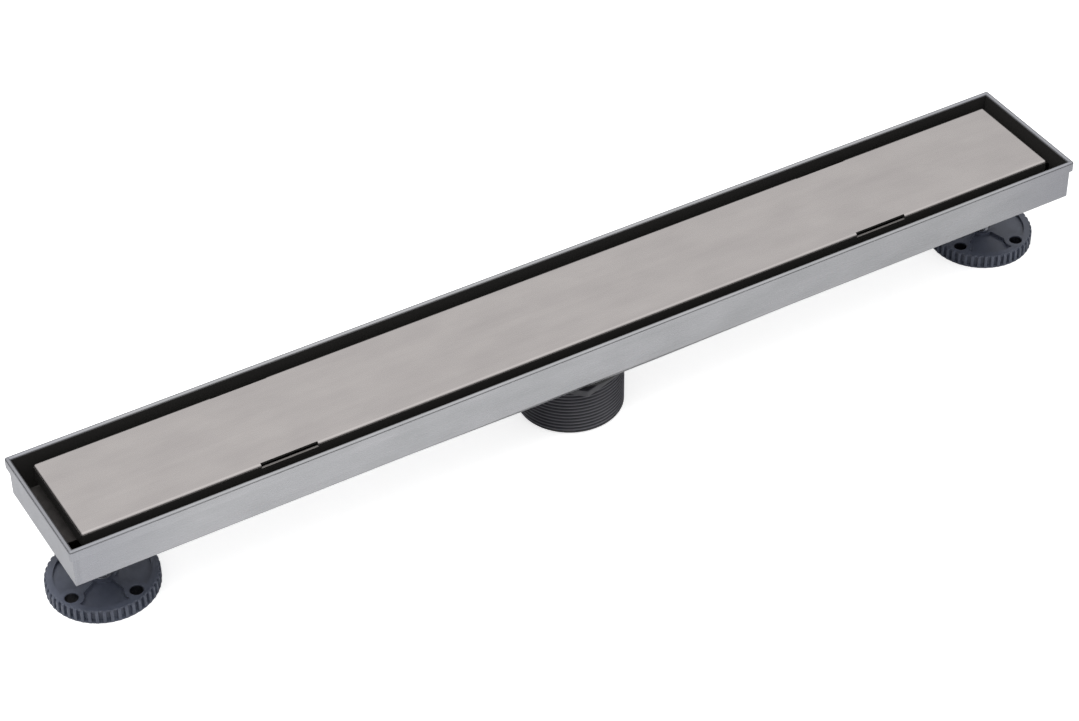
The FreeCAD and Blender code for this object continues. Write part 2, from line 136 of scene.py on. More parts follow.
SOCKET_FLOOR = 2 * MM
SCREW_CIRCLE = 23 * MM
SCREW_RADIUS = 3.6 * MM
SCREW_BREAK = 0.2 * MM
SCREW_STEPS = 40
BOSS_RADIUS = 6.4 * MM
BOSS_STEPS = 48
POCKET_INNER = 7.6 * MM
POCKET_OUTER = 25.0 * MM
POCKET_ANGLE = math.radians(72)
POCKET_DEPTH = 1.6 * MM
POCKET_STEPS = 24

# Sizes of the studs

STUD_PITCH = 1.5 * MM
STUD_DEPTH = 0.9 * MM
STUD_LEAD = 0.5 * MM
STUD_BREAK = 0.4 * MM
STUD_PLAIN_BELOW = 0.3 * MM
STUD_PLAIN_ABOVE = 0.6 * MM
STUD_STEPS = 48

# Allowances for modelling: how far a joined shell reaches into its neighbour, a core lies within
# its thread and a cutter stands out, and how near points lie that are merged

OVERLAP = 0.5 * MM
PIPE_CORE_ROOM = 0.1 * MM
STUD_CORE_ROOM = 0.05 * MM
CUTTER_REACH = 1.0 * MM
SCREW_CUTTER_REACH = 0.4 * MM
MERGED = 0.001 * MM


# Small tools for modelling


def deselect():
    if bpy.context.object and bpy.context.object.mode != "OBJECT":
        bpy.ops.object.mode_set(mode="OBJECT")
    bpy.ops.object.select_all(action="DESELECT")


def activate(piece):
    deselect()
    piece.select_set(True)
    bpy.context.view_layer.objects.active = piece


def edit(piece, action="SELECT", kind="VERT"):
    """Open a piece in edit mode with all of it selected, or nothing."""
    activate(piece)
    bpy.ops.object.mode_set(mode="EDIT")
    bpy.ops.mesh.select_mode(type=kind)
    bpy.ops.mesh.select_all(action=action)


def pick(piece, kind, wanted):
    """Select in edit mode the vertices, edges or faces for which wanted(element) holds."""
    bpy.ops.object.mode_set(mode="OBJECT")
    mesh = piece.data
    for group in (mesh.vertices, mesh.edges, mesh.polygons):
        group.foreach_set("select", [False] * len(group))
    for element in getattr(mesh, kind):
        element.select = bool(wanted(element))
    bpy.ops.object.mode_set(mode="EDIT")


def settle(piece):
    """Leave a piece at the origin, unturned and unscaled, with its place in its mesh."""
    activate(piece)
    bpy.ops.object.transform_apply(location=True, rotation=True, scale=True)
    return piece


def tidy_normals(piece):
    """Merge the points that coincide and turn all faces outwards."""
    edit(piece)
    bpy.ops.mesh.remove_doubles(threshold=MERGED)
    bpy.ops.mesh.normals_make_consistent(inside=False)
    bpy.ops.object.mode_set(mode="OBJECT")
    return piece


def arc(middle, width, height, start, end, count):
    """Corners of an outline on a round or oval stretch between two angles in degrees."""
    angles = [math.radians(start + (end - start) * k / (count - 1)) for k in range(count)]
    return [(middle[0] + width * math.cos(a), middle[1] + height * math.sin(a)) for a in angles]


def on_circle(radius, angle):
    return Vector((radius * math.cos(angle), radius * math.sin(angle), 0))


def outline(name, corners, closed=False):
    """A line of edges through corners of (radius, height), drawn in the plane y = 0."""
    deselect()
    start = Vector((corners[0][0], 0, corners[0][1]))
    bpy.ops.mesh.primitive_plane_add(size=MM, location=start)
    piece = bpy.context.object
    piece.name = name
    settle(piece)
    edit(piece)
    bpy.ops.mesh.merge(type="CENTER")
    here = start
    for radius, height in corners[1:]:
        there = Vector((radius, 0, height))
        bpy.ops.mesh.extrude_vertices_move(TRANSFORM_OT_translate={"value": there - here})
        here = there
    if closed:
        bpy.ops.mesh.select_all(action="SELECT")
        bpy.ops.mesh.edge_face_add()
    bpy.ops.object.mode_set(mode="OBJECT")
    return piece


def spun(piece, steps, angle=TURN, **settings):
    """A piece spun about the upright axis, or repeated round it with dupli=True."""
    edit(piece)
    bpy.ops.mesh.spin(steps=steps, angle=angle, center=(0, 0, 0), axis=UP, **settings)
    return tidy_normals(piece)


def turned(name, corners, steps):
    """A turned piece: the outline of (radius, height) spun once round."""
    return spun(outline(name, corners), steps)


def prism(sides, radius, low, high, middle=(0, 0)):
    """An upright prism or cylinder between two heights."""
    deselect()
    bpy.ops.mesh.primitive_cylinder_add(
        vertices=sides, radius=radius, depth=high - low, location=(*middle[:2], (low + high) / 2))
    return bpy.context.object


def apply_modifier(piece, kind, **settings):
    activate(piece)
    modifier = piece.modifiers.new(kind.lower(), kind)
    for setting, worth in settings.items():
        setattr(modifier, setting, worth)
    bpy.ops.object.modifier_apply(modifier=modifier.name)
    return piece


def cut_away(piece, *cutters):
    for cutter in cutters:
        apply_modifier(piece, "BOOLEAN", operation="DIFFERENCE", solver="EXACT", object=cutter)
        bpy.data.objects.remove(cutter)
    return piece


def joined(name, pieces):
    deselect()
    for piece in pieces:
        piece.select_set(True)
    bpy.context.view_layer.objects.active = pieces[0]
    bpy.ops.object.join()
    pieces[0].name = name
    return pieces[0]


def smooth(piece, degrees):
    activate(piece)
    bpy.ops.object.shade_smooth_by_angle(angle=math.radians(degrees))
    return piece


def move(piece, offset):
    piece.location = Vector(offset)
    return settle(piece)


def copy_of(piece, name):
    twin = piece.copy()
    twin.data = piece.data.copy()
    twin.name = name
    bpy.context.collection.objects.link(twin)
    return twin


# Small tools for materials. The first values say how much of a face's normal lies along Z, X or
# Y where the face counts as looking up, to an end or to a side, and how softly that changes.

UPWARD = 0.2
UPWARD_FADE = 0.2
ENDWARD = 0.7
ENDWARD_FADE = 0.3
SIDEWARD = 0.8
SIDEWARD_FADE = 0.2
NOISE_MIDDLE = 0.5
NOISE_SPREAD = 0.2


def linear(hex_colour):
    """An sRGB hex colour as linear RGBA."""
    parts = [int(hex_colour[k:k + 2], 16) / 255 for k in (1, 3, 5)]
    return tuple(c / 12.92 if c <= 0.04045 else ((c + 0.055) / 1.055) ** 2.4 for c in parts) + (1,)


def fill(node, inputs):
    """Set or link a node's inputs, given by name, or in the order in which the node shows them.

    An input is a plain value, an output, or a node, whose first shown output is linked.
    """
    if isinstance(inputs, dict):
        pairs = [(node.inputs[name], worth) for name, worth in inputs.items()]
    else:
        pairs = zip([socket for socket in node.inputs if socket.enabled], inputs)
    for socket, worth in pairs:
        if isinstance(worth, bpy.types.Node):
            worth = next(output for output in worth.outputs if output.enabled)
        if isinstance(worth, bpy.types.NodeSocket):
            node.id_data.links.new(worth, socket)
        else:
            socket.default_value = worth


def add_node(tree, kind, inputs=(), **settings):
    """Add a node, set its properties, and fill its inputs."""
    node = tree.nodes.new("ShaderNode" + kind)
    for setting, worth in settings.items():
        setattr(node, setting, worth)
    fill(node, inputs)
    return node


def new_material(name):
    """A material with only a Principled shader; returns the material, its tree and the shader."""
    material = bpy.data.materials.new(name)
    material.use_nodes = True
    tree = material.node_tree
    return material, tree, tree.nodes["Principled BSDF"]


def split(tree, coordinates):
    """The X, Y and Z of a kind of texture coordinate."""
    source = add_node(tree, "TexCoord").outputs[coordinates]
    return add_node(tree, "SeparateXYZ", [source]).outputs


def stretched_noise(tree, period_mm, detail):
    """Noise on object coordinates, whose period in millimetres is given along each axis."""
    place = add_node(tree, "TexCoord").outputs["Object"]
    scale = [1 / (period * MM) for period in period_mm]
    mapping = add_node(tree, "Mapping", {"Vector": place, "Scale": scale})
    return add_node(tree, "TexNoise", {
        "Vector": mapping, "Scale": 1.0, "Detail": detail, "Roughness": 0.5})


def spread_out(tree, noise, low, high, spread=NOISE_SPREAD):
    """A value that goes from low to high over the middle part of a noise, where most of it lies."""
    start, end = NOISE_MIDDLE - spread, NOISE_MIDDLE + spread
    return add_node(tree, "MapRange", [noise, start, end, low, high])


def toned(tree, noise, dark, light, spread=NOISE_SPREAD):
    """A colour that goes from dark to light over the middle part of a noise."""
    share = spread_out(tree, noise, 0.0, 1.0, spread)
    return add_node(tree, "Mix", [share, linear(dark), linear(light)], data_type="RGBA")


def soft_step(tree, value, edge, width, before=0.0, after=1.0):
    """0 before an edge and 1 after it, or the levels given, with a soft change of this width."""
    return add_node(tree, "MapRange", [value, edge - width / 2, edge + width / 2, before, after])


def past_either(tree, value, edge, width, **levels):
    """A soft step that a value crosses at the edge on either side of zero."""
    size = add_node(tree, "Math", [value], operation="ABSOLUTE")
    return soft_step(tree, size, edge, width, **levels)


def length_of(tree, one, other):
    """The distance between two points, from how far apart they lie along and across."""
    flat = add_node(tree, "CombineXYZ", [one, other, 0.0])
    return add_node(tree, "VectorMath", [flat], operation="LENGTH")


def facing_up(tree):
    """1 on faces that lean well upwards."""
    return soft_step(tree, split(tree, "Normal")["Z"], UPWARD, UPWARD_FADE)


def dress(piece, material):
    piece.data.materials.clear()
    piece.data.materials.append(material)
    return piece


# Brushed stainless steel, sheet rolled and brushed along its length. The eye sees a pale grey
# with long soft highlights, broken by fine scratches along X and fainter, wider bands. Scratches
# and the ground welds' grain are drawn coarser than the real ones, of a few hundredths of a
# millimetre, so that they still show.

SCRATCH_MM = (55.0, 0.3, 0.3)
BAND_MM = (160.0, 5.0, 5.0)
CLOUD_MM = (28.0, 14.0, 14.0)
BAND_SHARE = 0.2
CLOUD_SHARE = 0.5
SCRATCH_SHARE = 0.3
BRUSHED_SMOOTHEST = 0.22
BRUSHED_ROUGHEST = 0.3
# Near-black painted shade inside the channel and under the cover
SHADE_BLACK = "#2A2928"
# Painted light: the grey of that painted shade's faces that look up
PAINTED_TOP_LIGHT = "#64615F"
SHADE_ROUGHNESS = 0.55
SHADE_FADE = 0.1 * MM
BEND_FADE = 0.3 * MM


def brushed_steel(name, light, dark, painted_shade, top_lit=False, worked_and_shaded=None):
    """Brushed sheet with dull, near-black painted shade where it lies in shade.

    painted_shade(tree) is 1 where that painted shade lies. With top_lit, its faces that look up
    are painted greyer, as painted light. worked_and_shaded(tree, tone, colour, rough, relief)
    changes the steel where it was welded or cut, and paints shade on it.
    """
    material, tree, shader = new_material(name)
    scratches = stretched_noise(tree, SCRATCH_MM, 2.0)
    bands = stretched_noise(tree, BAND_MM, 2.0)
    clouds = stretched_noise(tree, CLOUD_MM, 3.0)
    tone = 0.0
    for noise, share in ((bands, BAND_SHARE), (clouds, CLOUD_SHARE), (scratches, SCRATCH_SHARE)):
        tone = add_node(tree, "Math", [noise, share, tone], operation="MULTIPLY_ADD")
    colour = toned(tree, tone, dark, light)
    rough = spread_out(tree, scratches, BRUSHED_SMOOTHEST, BRUSHED_ROUGHEST)
    relief = scratches
    if worked_and_shaded:
        colour, rough, relief = worked_and_shaded(tree, tone, colour, rough, relief)
    # Painted shade: near black, dull and not metallic, where the mask is 1
    shade_colour = linear(SHADE_BLACK)
    # Painted light: faces that look up are painted greyer
    if top_lit:
        shade_colour = add_node(tree, "Mix", [facing_up(tree), shade_colour, linear(PAINTED_TOP_LIGHT)], data_type="RGBA")
    mask = painted_shade(tree)
    fill(shader, {
        "Base Color": add_node(tree, "Mix", [mask, colour, shade_colour], data_type="RGBA"),
        "Metallic": add_node(tree, "Math", [1.0, mask], operation="SUBTRACT"),
        "Roughness": add_node(tree, "Mix", [mask, rough, SHADE_ROUGHNESS]),
        "Normal": add_node(tree, "Bump", {"Height": relief, "Strength": 0.05, "Distance": 0.05 * MM}),
    })
    return material


# What making the channel did to its sheet: the corner welds are ground upright and a little
# darker. Painted shade darkens both ends of the sheet and the end walls, which are also rougher

WELD_GRAIN_MM = (0.5, 0.5, 24.0)
WELD_LIGHT = "#ABACAF"
WELD_DARK = "#969799"
WELD_SPREAD = 0.15
WELD_FADE = 0.6 * MM
# Painted shade towards both ends of the sheet and on its end walls
END_SHADE_GREY = "#94959C"
END_SHADE_SHARE = 0.6
END_WALL_SHADE_LIGHT = "#A2A3A8"
END_WALL_SHADE_DARK = "#949599"
END_ROUGHER = 0.15


def past_rim(tree, inset, width, **levels):
    """Two soft steps, at lines that lie inset within the channel's ends and within its sides."""
    at = split(tree, "Object")
    return [past_either(tree, at[axis], rim - inset, width, **levels)
            for axis, rim in (("X", channel_high.x), ("Y", channel_high.y))]


def inside_channel(tree):
    """1 on the channel's inner faces, which get near-black painted shade from the inner side of the
    rim.
    """
    within_rim = past_rim(tree, HEM_THICK - SHADE_INSET, SHADE_FADE, before=1.0, after=0.0)
    within = add_node(tree, "Math", within_rim, operation="MINIMUM")
    floor_middle = channel_high.z - CHANNEL_DEPTH + SHEET / 2
    above_floor = soft_step(tree, split(tree, "Object")["Z"], floor_middle, SHADE_FADE)
    inner = add_node(tree, "Math", [above_floor, facing_up(tree)], operation="MAXIMUM")
    return add_node(tree, "Math", [within, inner], operation="MULTIPLY")


def near_corner(tree):
    """1 beside the channel's four upright corners."""
    ends_and_sides = past_rim(tree, HEM_THICK - SHEET + WELD_BAND, WELD_FADE)
    return add_node(tree, "Math", ends_and_sides, operation="MULTIPLY")


def welded_and_shaded_sheet(tree, tone, colour, rough, relief):
    """The channel's welds, and painted shade towards its ends and on its end walls."""
    seam = near_corner(tree)
    upright = stretched_noise(tree, WELD_GRAIN_MM, 3.0)
    ground = toned(tree, upright, WELD_DARK, WELD_LIGHT, WELD_SPREAD)
    colour = add_node(tree, "Mix", [seam, colour, ground], data_type="RGBA")
    relief = add_node(tree, "Mix", [seam, relief, upright])
    # Painted shade: the sheet darkens towards both ends
    from_middle = add_node(tree, "Math", [split(tree, "Object")["X"]], operation="ABSOLUTE")
    end_shade = add_node(tree, "MapRange", [
        from_middle, channel_high.x - END_SHADE_START, channel_high.x - END_SHADE_STOP, 0.0, END_SHADE_SHARE])
    colour = add_node(tree, "Mix", [end_shade, colour, linear(END_SHADE_GREY)], data_type="RGBA")
    # Painted shade on the end walls, which are also rougher
    end_wall = past_either(tree, split(tree, "Normal")["X"], ENDWARD, ENDWARD_FADE)
    end_wall_shade = toned(tree, tone, END_WALL_SHADE_DARK, END_WALL_SHADE_LIGHT)
    colour = add_node(tree, "Mix", [end_wall, colour, end_wall_shade], data_type="RGBA")
    rough = add_node(tree, "Math", [end_wall, END_ROUGHER, rough], operation="MULTIPLY_ADD")
    return colour, rough, relief


def below_cover(tree):
    """1 on the cover's skirts and underside and inside its notches, which get near-black painted
    shade; 0 on its plate and bends.
    """
    at = split(tree, "Object")
    low = soft_step(tree, at["Z"], cover_high.z - BARE_BEND, BEND_FADE, before=1.0, after=0.0)
    behind_skirt = past_either(tree, at["Y"], cover_high.y - SKIRT_DEPTH, SHADE_FADE,
                               before=1.0, after=0.0)
    across = past_either(tree, split(tree, "Normal")["Y"], SIDEWARD, SIDEWARD_FADE)
    notched = add_node(tree, "Math", [across, behind_skirt], operation="MULTIPLY")
    return add_node(tree, "Math", [notched, low], operation="MAXIMUM")


# The channel's sheet is the cooler grey; the cover's plate is a little lighter and warmer
channel_steel = brushed_steel("brushed stainless channel", "#AFAFB2", "#9FA0A2", inside_channel,
                              worked_and_shaded=welded_and_shaded_sheet)
cover_steel = brushed_steel("brushed stainless cover", "#BBB6B4", "#ADA8A7", below_cover, top_lit=True)


# Satin steel, pressed or rolled: soft, even highlights without the channel's long scratches. Its
# grit is drawn coarser than the real one, of a few hundredths of a millimetre.

SATIN_CLOUD_MM = (6.0, 6.0, 6.0)
GRIT_MM = (0.5, 0.5, 0.5)
SATIN_SPREAD = 0.15
SATIN_CHANGE = 0.03


def satin_steel(name, light, dark, roughness):
    material, tree, shader = new_material(name)
    clouds = stretched_noise(tree, SATIN_CLOUD_MM, 4.0)
    grit = stretched_noise(tree, GRIT_MM, 2.0)
    fill(shader, {
        "Base Color": toned(tree, clouds, dark, light, SATIN_SPREAD),
        "Metallic": 1.0,
        "Roughness": spread_out(tree, grit, roughness - SATIN_CHANGE, roughness + SATIN_CHANGE),
        "Normal": add_node(tree, "Bump", {"Height": grit, "Strength": 0.05, "Distance": 0.02 * MM}),
    })
    return material


# Ledges and bridges are painted dark, as painted shade, so that they hardly show in the gap under the
# cover
shaded_bracket_steel = satin_steel("shade-darkened bracket steel", "#4A4746", "#3B3938", 0.5)
# The strainer is bright pressed sheet, pale with a soft sheen
pressed_steel = satin_steel("satin pressed stainless", "#C9C8C6", "#B4B3B1", 0.33)
# The studs' rolled threads are darker and glossier, so that their crests show as bright flecks
thread_steel = satin_steel("rolled stainless thread", "#8E9096", "#76787E", 0.28)


# Moulded plastics and rubber: matt and slightly cloudy, with the fine spark-eroded grain of the
# mould, which keeps highlights wide and soft. The grain is drawn coarser than the real one, of
# about a tenth of a millimetre.

PLASTIC_CLOUD_MM = (9.0, 9.0, 9.0)
PLASTIC_CHANGE = 0.07
PLASTIC_IOR = 1.53
# Painted highlight on the crests of the outlet's thread
CREST_HIGHLIGHT = "#5C5C62"
CREST_HIGHLIGHT_DEPTH = 0.3 * MM
# Painted shade on the walls of the feet's screw holes
HOLE_SHADE = "#17181F"
HOLE_SHADE_BELOW = 0.8 * MM
EDGE_FADE = 0.2 * MM


def moulded_plastic(name, light, dark, roughness, grain_mm, painted_light_mask=None, painted_light_colour=None):
    """painted_light_mask(tree) is 1 where the plastic takes painted_light_colour, as painted light.
    """
    material, tree, shader = new_material(name)
    clouds = stretched_noise(tree, PLASTIC_CLOUD_MM, 3.0)
    grain = stretched_noise(tree, (grain_mm, grain_mm, grain_mm), 3.0)
    colour = toned(tree, clouds, dark, light)
    if painted_light_mask:
        # Painted light where the mask is 1: the thread crests' painted highlight, the screw holes'
        # painted shade
        colour = add_node(tree, "Mix", [painted_light_mask(tree), colour, linear(painted_light_colour)], data_type="RGBA")
    fill(shader, {
        "Base Color": colour,
        "Roughness": spread_out(tree, grain, roughness - PLASTIC_CHANGE, roughness + PLASTIC_CHANGE),
        "IOR": PLASTIC_IOR,
        "Normal": add_node(tree, "Bump", {"Height": grain, "Strength": 0.25, "Distance": 0.04 * MM}),
    })
    return material


def thread_crest_highlight(tree):
    """1 on the crests of the outlet's pipe thread, which carry a pale painted highlight."""
    at = split(tree, "Object")
    below_collar = soft_step(tree, at["Z"], COLLAR_LOW, EDGE_FADE, before=1.0, after=0.0)
    reach = length_of(tree, at["X"], at["Y"])
    outer = soft_step(tree, reach, THREAD_RADIUS - CREST_HIGHLIGHT_DEPTH, CREST_HIGHLIGHT_DEPTH)
    return add_node(tree, "Math", [below_collar, outer], operation="MULTIPLY")


def screw_hole_shade(tree):
    """1 on the walls of the feet's screw holes, which carry dark painted shade.

    Seen from its foot's middle, the cross of four holes is turned square to the axes and
    folded, so that all four lie on one of them.
    """
    at = split(tree, "Object")
    end = add_node(tree, "Math", [at["X"]], operation="SIGN")
    along = add_node(tree, "Math", [end, -FOOT_X, at["X"]], operation="MULTIPLY_ADD")
    seen = add_node(tree, "CombineXYZ", [along, at["Y"], 0.0])
    square = add_node(tree, "VectorRotate", {"Vector": seen, "Angle": -(DISC_TURN + TURN / 8)},
                      rotation_type="Z_AXIS")
    folded = add_node(tree, "SeparateXYZ", [
        add_node(tree, "VectorMath", [square], operation="ABSOLUTE")]).outputs
    reach = add_node(tree, "Math", [folded["X"], folded["Y"]], operation="MAXIMUM")
    aside = add_node(tree, "Math", [folded["X"], folded["Y"]], operation="MINIMUM")
    outwards = add_node(tree, "Math", [reach, SCREW_CIRCLE], operation="SUBTRACT")
    hole = soft_step(tree, length_of(tree, outwards, aside), SCREW_RADIUS + EDGE_FADE, EDGE_FADE,
                     before=1.0, after=0.0)
    below_top = soft_step(tree, at["Z"], DISC_TOP - HOLE_SHADE_BELOW, HOLE_SHADE_BELOW, before=1.0, after=0.0)
    return add_node(tree, "Math", [hole, below_top], operation="MINIMUM")


# ABS of the nut and washer: a dark, nearly neutral grey with a dull sheen
grey_abs = moulded_plastic("dark grey ABS", "#39393F", "#2E2E34", 0.42, 0.7)
# The outlet is darker, and its thread's crests carry a painted highlight that shows as pale lines
threaded_abs = moulded_plastic("dark grey ABS with a painted thread highlight", "#323237", "#28282D", 0.42, 0.7,
                               thread_crest_highlight, CREST_HIGHLIGHT)
# Nylon of the feet: a bluish slate grey, a little glossier than the ABS, with painted shade in its
# screw holes
slate_nylon = moulded_plastic("slate grey nylon", "#565B69", "#494E5C", 0.4, 0.8, screw_hole_shade, HOLE_SHADE)
# Rubber of the gasket: nearly black and dull, without highlights
seal_rubber = moulded_plastic("black nitrile rubber", "#1D1D1E", "#151516", 0.7, 0.5)


# Threads: one pitch of the tooth is carried up its helix, trimmed, and closed on its inner side


def thread(name, radius, depth, pitch, low, high, lead, steps):
    """A closed skin with a helical thread between two heights, its lower end turned to a lead."""
    flat = pitch / 8
    root = radius - depth
    piece = outline(name, [
        (root, low - pitch),
        (root, low - pitch + flat),
        (radius, low - pitch / 2 - flat / 2),
        (radius, low - pitch / 2 + flat / 2),
        (root, low),
    ])
    turns = math.ceil((high - low) / pitch) + 2
    apply_modifier(piece, "SCREW", axis="Z", angle=TURN, screw_offset=pitch, iterations=turns,
                   steps=steps, render_steps=steps, use_merge_vertices=True,
                   merge_threshold=MERGED, use_normal_calculate=True)
    # Trimmed at both heights, then cut back to the lead at the lower end
    for height, above in ((low, False), (high, True)):
        edit(piece)
        bpy.ops.mesh.bisect(plane_co=(0, 0, height), plane_no=UP, clear_outer=above,
                            clear_inner=not above)
    bpy.ops.object.mode_set(mode="OBJECT")
    for vertex in piece.data.vertices:
        reach = math.hypot(vertex.co.x, vertex.co.y)
        allowed = radius - lead + (vertex.co.z - low)
        if reach > allowed:
            vertex.co.x *= allowed / reach
            vertex.co.y *= allowed / reach
    # Both open ends are drawn inwards and joined by an inner wall
    edit(piece, "DESELECT", "EDGE")
    bpy.ops.mesh.select_non_manifold(extend=False, use_wire=False, use_multi_face=False,
                                     use_non_contiguous=False, use_verts=False)
    shrink = (root - depth) / radius
    bpy.ops.mesh.extrude_edges_move()
    bpy.ops.transform.resize(value=(shrink, shrink, 1), center_override=(0, 0, 0))
    bpy.ops.mesh.bridge_edge_loops()
    return tidy_normals(piece)


# Outlet: a moulded core in two threaded skins, with the hexagon collar between them


def make_collar(bore):
    """A hexagon with broken edges, bored to take the core."""
    corner_radius = COLLAR_ACROSS / (2 * math.cos(TURN / 12))
    collar = prism(6, corner_radius, COLLAR_LOW, COLLAR_HIGH)
    first = min(math.atan2(v.co.y, v.co.x) % (TURN / 6) for v in collar.data.vertices)
    collar.rotation_euler.z = COLLAR_TURN - first
    settle(collar)
    apply_modifier(collar, "BEVEL", width=COLLAR_BREAK, segments=3, limit_method="ANGLE")
    low, high = COLLAR_LOW - CUTTER_REACH, COLLAR_HIGH + CUTTER_REACH
    cutter = turned("collar_bore", [(0, low), (bore, low), (bore, high), (0, high)], OUTLET_STEPS)
    return cut_away(collar, cutter)


def make_outlet():
    low, high = outlet_low.z, outlet_high.z
    pipe_root = THREAD_RADIUS - PIPE_DEPTH
    neck_root = NECK_RADIUS - NECK_DEPTH
    core = turned("outlet_core", [
        (SPIGOT_BORE, low + BORE_BREAK),
        (SPIGOT_BORE + BORE_BREAK, low),
        (pipe_root - SPIGOT_BREAK, low),
        (pipe_root - PIPE_CORE_ROOM, low + SPIGOT_BREAK),
        (pipe_root - PIPE_CORE_ROOM, COLLAR_HIGH),
        (neck_root, COLLAR_HIGH),
        (neck_root, high - NECK_BREAK),
        (neck_root - NECK_BREAK, high),
        (NECK_BORE, high),
        (NECK_BORE, COLLAR_HIGH),
        (SPIGOT_BORE, COLLAR_LOW),
        (SPIGOT_BORE, low + BORE_BREAK),
    ], OUTLET_STEPS)
    pipe = thread("outlet_pipe_thread", THREAD_RADIUS, PIPE_DEPTH, PIPE_PITCH, low + PIPE_START,
                  COLLAR_LOW + OVERLAP, PIPE_LEAD, OUTLET_STEPS)
    neck = thread("outlet_neck_thread", NECK_RADIUS, NECK_DEPTH, NECK_PITCH,
                  COLLAR_HIGH + NECK_PLAIN_BELOW, high - NECK_PLAIN_ABOVE, NECK_LEAD, NECK_STEPS)
    collar = make_collar(pipe_root - OVERLAP)
    return smooth(joined("outlet_body_moulding", [core, pipe, neck, collar]), degrees=30)


# Feet: a disc with ribs, pockets and screw holes, and its threaded stud


def make_disc_core():
    """The disc between its ribs: a base flange, a slotted side and a rounded upper edge."""
    edge_radius = SLOT_RADIUS + EDGE_ROUND_WIDTH
    return turned("disc_core", [
        (0, 0),
        (CORE_INNER, 0),
        (CORE_INNER, CORE_DEPTH),
        (CORE_OUTER, CORE_DEPTH),
        (CORE_OUTER, 0),
        (FLANGE_RADIUS - FLANGE_BREAK, 0),
        (FLANGE_RADIUS, FLANGE_BREAK),
        (FLANGE_RADIUS, FLANGE_HEIGHT),
        (SLOT_RADIUS, FLANGE_HEIGHT + FLANGE_FALL),
        (SLOT_RADIUS, SLOT_TOP),
        (SLOT_RADIUS + RUNOUT_WIDTH, SLOT_TOP + RUNOUT_HEIGHT),
        (edge_radius, EDGE_LOW),
        *arc((SLOT_RADIUS, DISC_TOP - EDGE_ROUND_HEIGHT), EDGE_ROUND_WIDTH, EDGE_ROUND_HEIGHT,
             0, 90, 3),
        (SOCKET_RADIUS + SOCKET_BREAK, DISC_TOP),
        (SOCKET_RADIUS, DISC_TOP - SOCKET_BREAK),
        (SOCKET_RADIUS, SOCKET_FLOOR),
        (0, SOCKET_FLOOR),
    ], DISC_STEPS)


def is_rib_corner(mesh, edge):
    """Whether an edge runs along one of a rib's two outer sides."""
    first, last = (mesh.vertices[k].co for k in edge.vertices)
    runs_along = abs(first.y - last.y) < RIB_CORNER
    return runs_along and min(first.x, last.x) > SLOT_RADIUS


def make_ribs():
    """One upright rib that follows the disc's rounded upper edge, repeated around the disc."""
    inner = DISC_RADIUS - RIB_REACH_IN
    rib = outline("disc_rib", [
        (inner, 0),
        (DISC_RADIUS - RIB_BREAK, 0),
        (DISC_RADIUS, RIB_BREAK),
        *arc((DISC_RADIUS - RIB_ROUND, DISC_TOP - RIB_ROUND), RIB_ROUND, RIB_ROUND, 0, 67.5, 4),
        (inner, DISC_TOP - RIB_SINK),
    ], closed=True)
    edit(rib)
    bpy.ops.mesh.extrude_region_move(TRANSFORM_OT_translate={"value": (0, RIB_WIDTH, 0)})
    bpy.ops.mesh.select_all(action="SELECT")
    bpy.ops.transform.translate(value=(0, -RIB_WIDTH / 2, 0))
    tidy_normals(rib)
    edit(rib, "DESELECT", "EDGE")
    pick(rib, "edges", lambda edge: is_rib_corner(rib.data, edge))
    bpy.ops.mesh.bevel(offset=RIB_CORNER, segments=3, affect="EDGES")
    return spun(rib, RIB_COUNT, dupli=True)


def make_pocket(turn):
    """A sector block, cut back round its two neighbouring screw holes, for the disc's top."""
    low, high = DISC_TOP - POCKET_DEPTH, DISC_TOP + POCKET_DEPTH
    block = outline("disc_pocket", [
        (POCKET_INNER, low), (POCKET_OUTER, low), (POCKET_OUTER, high), (POCKET_INNER, high),
    ], closed=True)
    spun(block, POCKET_STEPS, POCKET_ANGLE)
    centre = sum((v.co for v in block.data.vertices), Vector()) / len(block.data.vertices)
    block.rotation_euler.z = turn - math.atan2(centre.y, centre.x)
    settle(block)
    for side in (-1, 1):
        boss = prism(BOSS_STEPS, BOSS_RADIUS, low - POCKET_DEPTH, high + POCKET_DEPTH,
                     on_circle(SCREW_CIRCLE, turn + side * TURN / 8))
        cut_away(block, settle(boss))
    return block


def make_screw_cutter(turn):
    """A screw's clearance hole, its upper edge just broken."""
    top = DISC_TOP + SCREW_CUTTER_REACH
    cutter = turned("screw_cutter", [
        (0, -CUTTER_REACH),
        (SCREW_RADIUS, -CUTTER_REACH),
        (SCREW_RADIUS, DISC_TOP - SCREW_BREAK),
        (SCREW_RADIUS + SCREW_BREAK + SCREW_CUTTER_REACH, top),
        (0, top),
    ], SCREW_STEPS)
    return move(cutter, on_circle(SCREW_CIRCLE, turn))


def make_disc():
    core = make_disc_core()
    quarters = [DISC_TURN + TURN * k / 4 for k in range(4)]
    pockets = [make_pocket(turn) for turn in quarters]
    screws = [make_screw_cutter(turn + TURN / 8) for turn in quarters]
    cut_away(core, *pockets, *screws)
    return smooth(joined("foot_disc_moulding", [core, make_ribs()]), degrees=32)


def make_stud():
    low, high = stud_low.z, stud_high.z
    root = STUD_RADIUS - STUD_DEPTH - STUD_CORE_ROOM
    core = turned("stud_core", [
        (0, low), (root, low), (root, high - STUD_BREAK), (root - STUD_BREAK, high), (0, high),
    ], STUD_STEPS)
    rolled = thread("stud_thread", STUD_RADIUS, STUD_DEPTH, STUD_PITCH, low + STUD_PLAIN_BELOW,
                    high - STUD_PLAIN_ABOVE, STUD_LEAD, STUD_STEPS)
    return smooth(joined("foot_stud_rod", [core, rolled]), degrees=30)


# Placing the pieces: the outlet, and a copy of the disc and the stud at each end

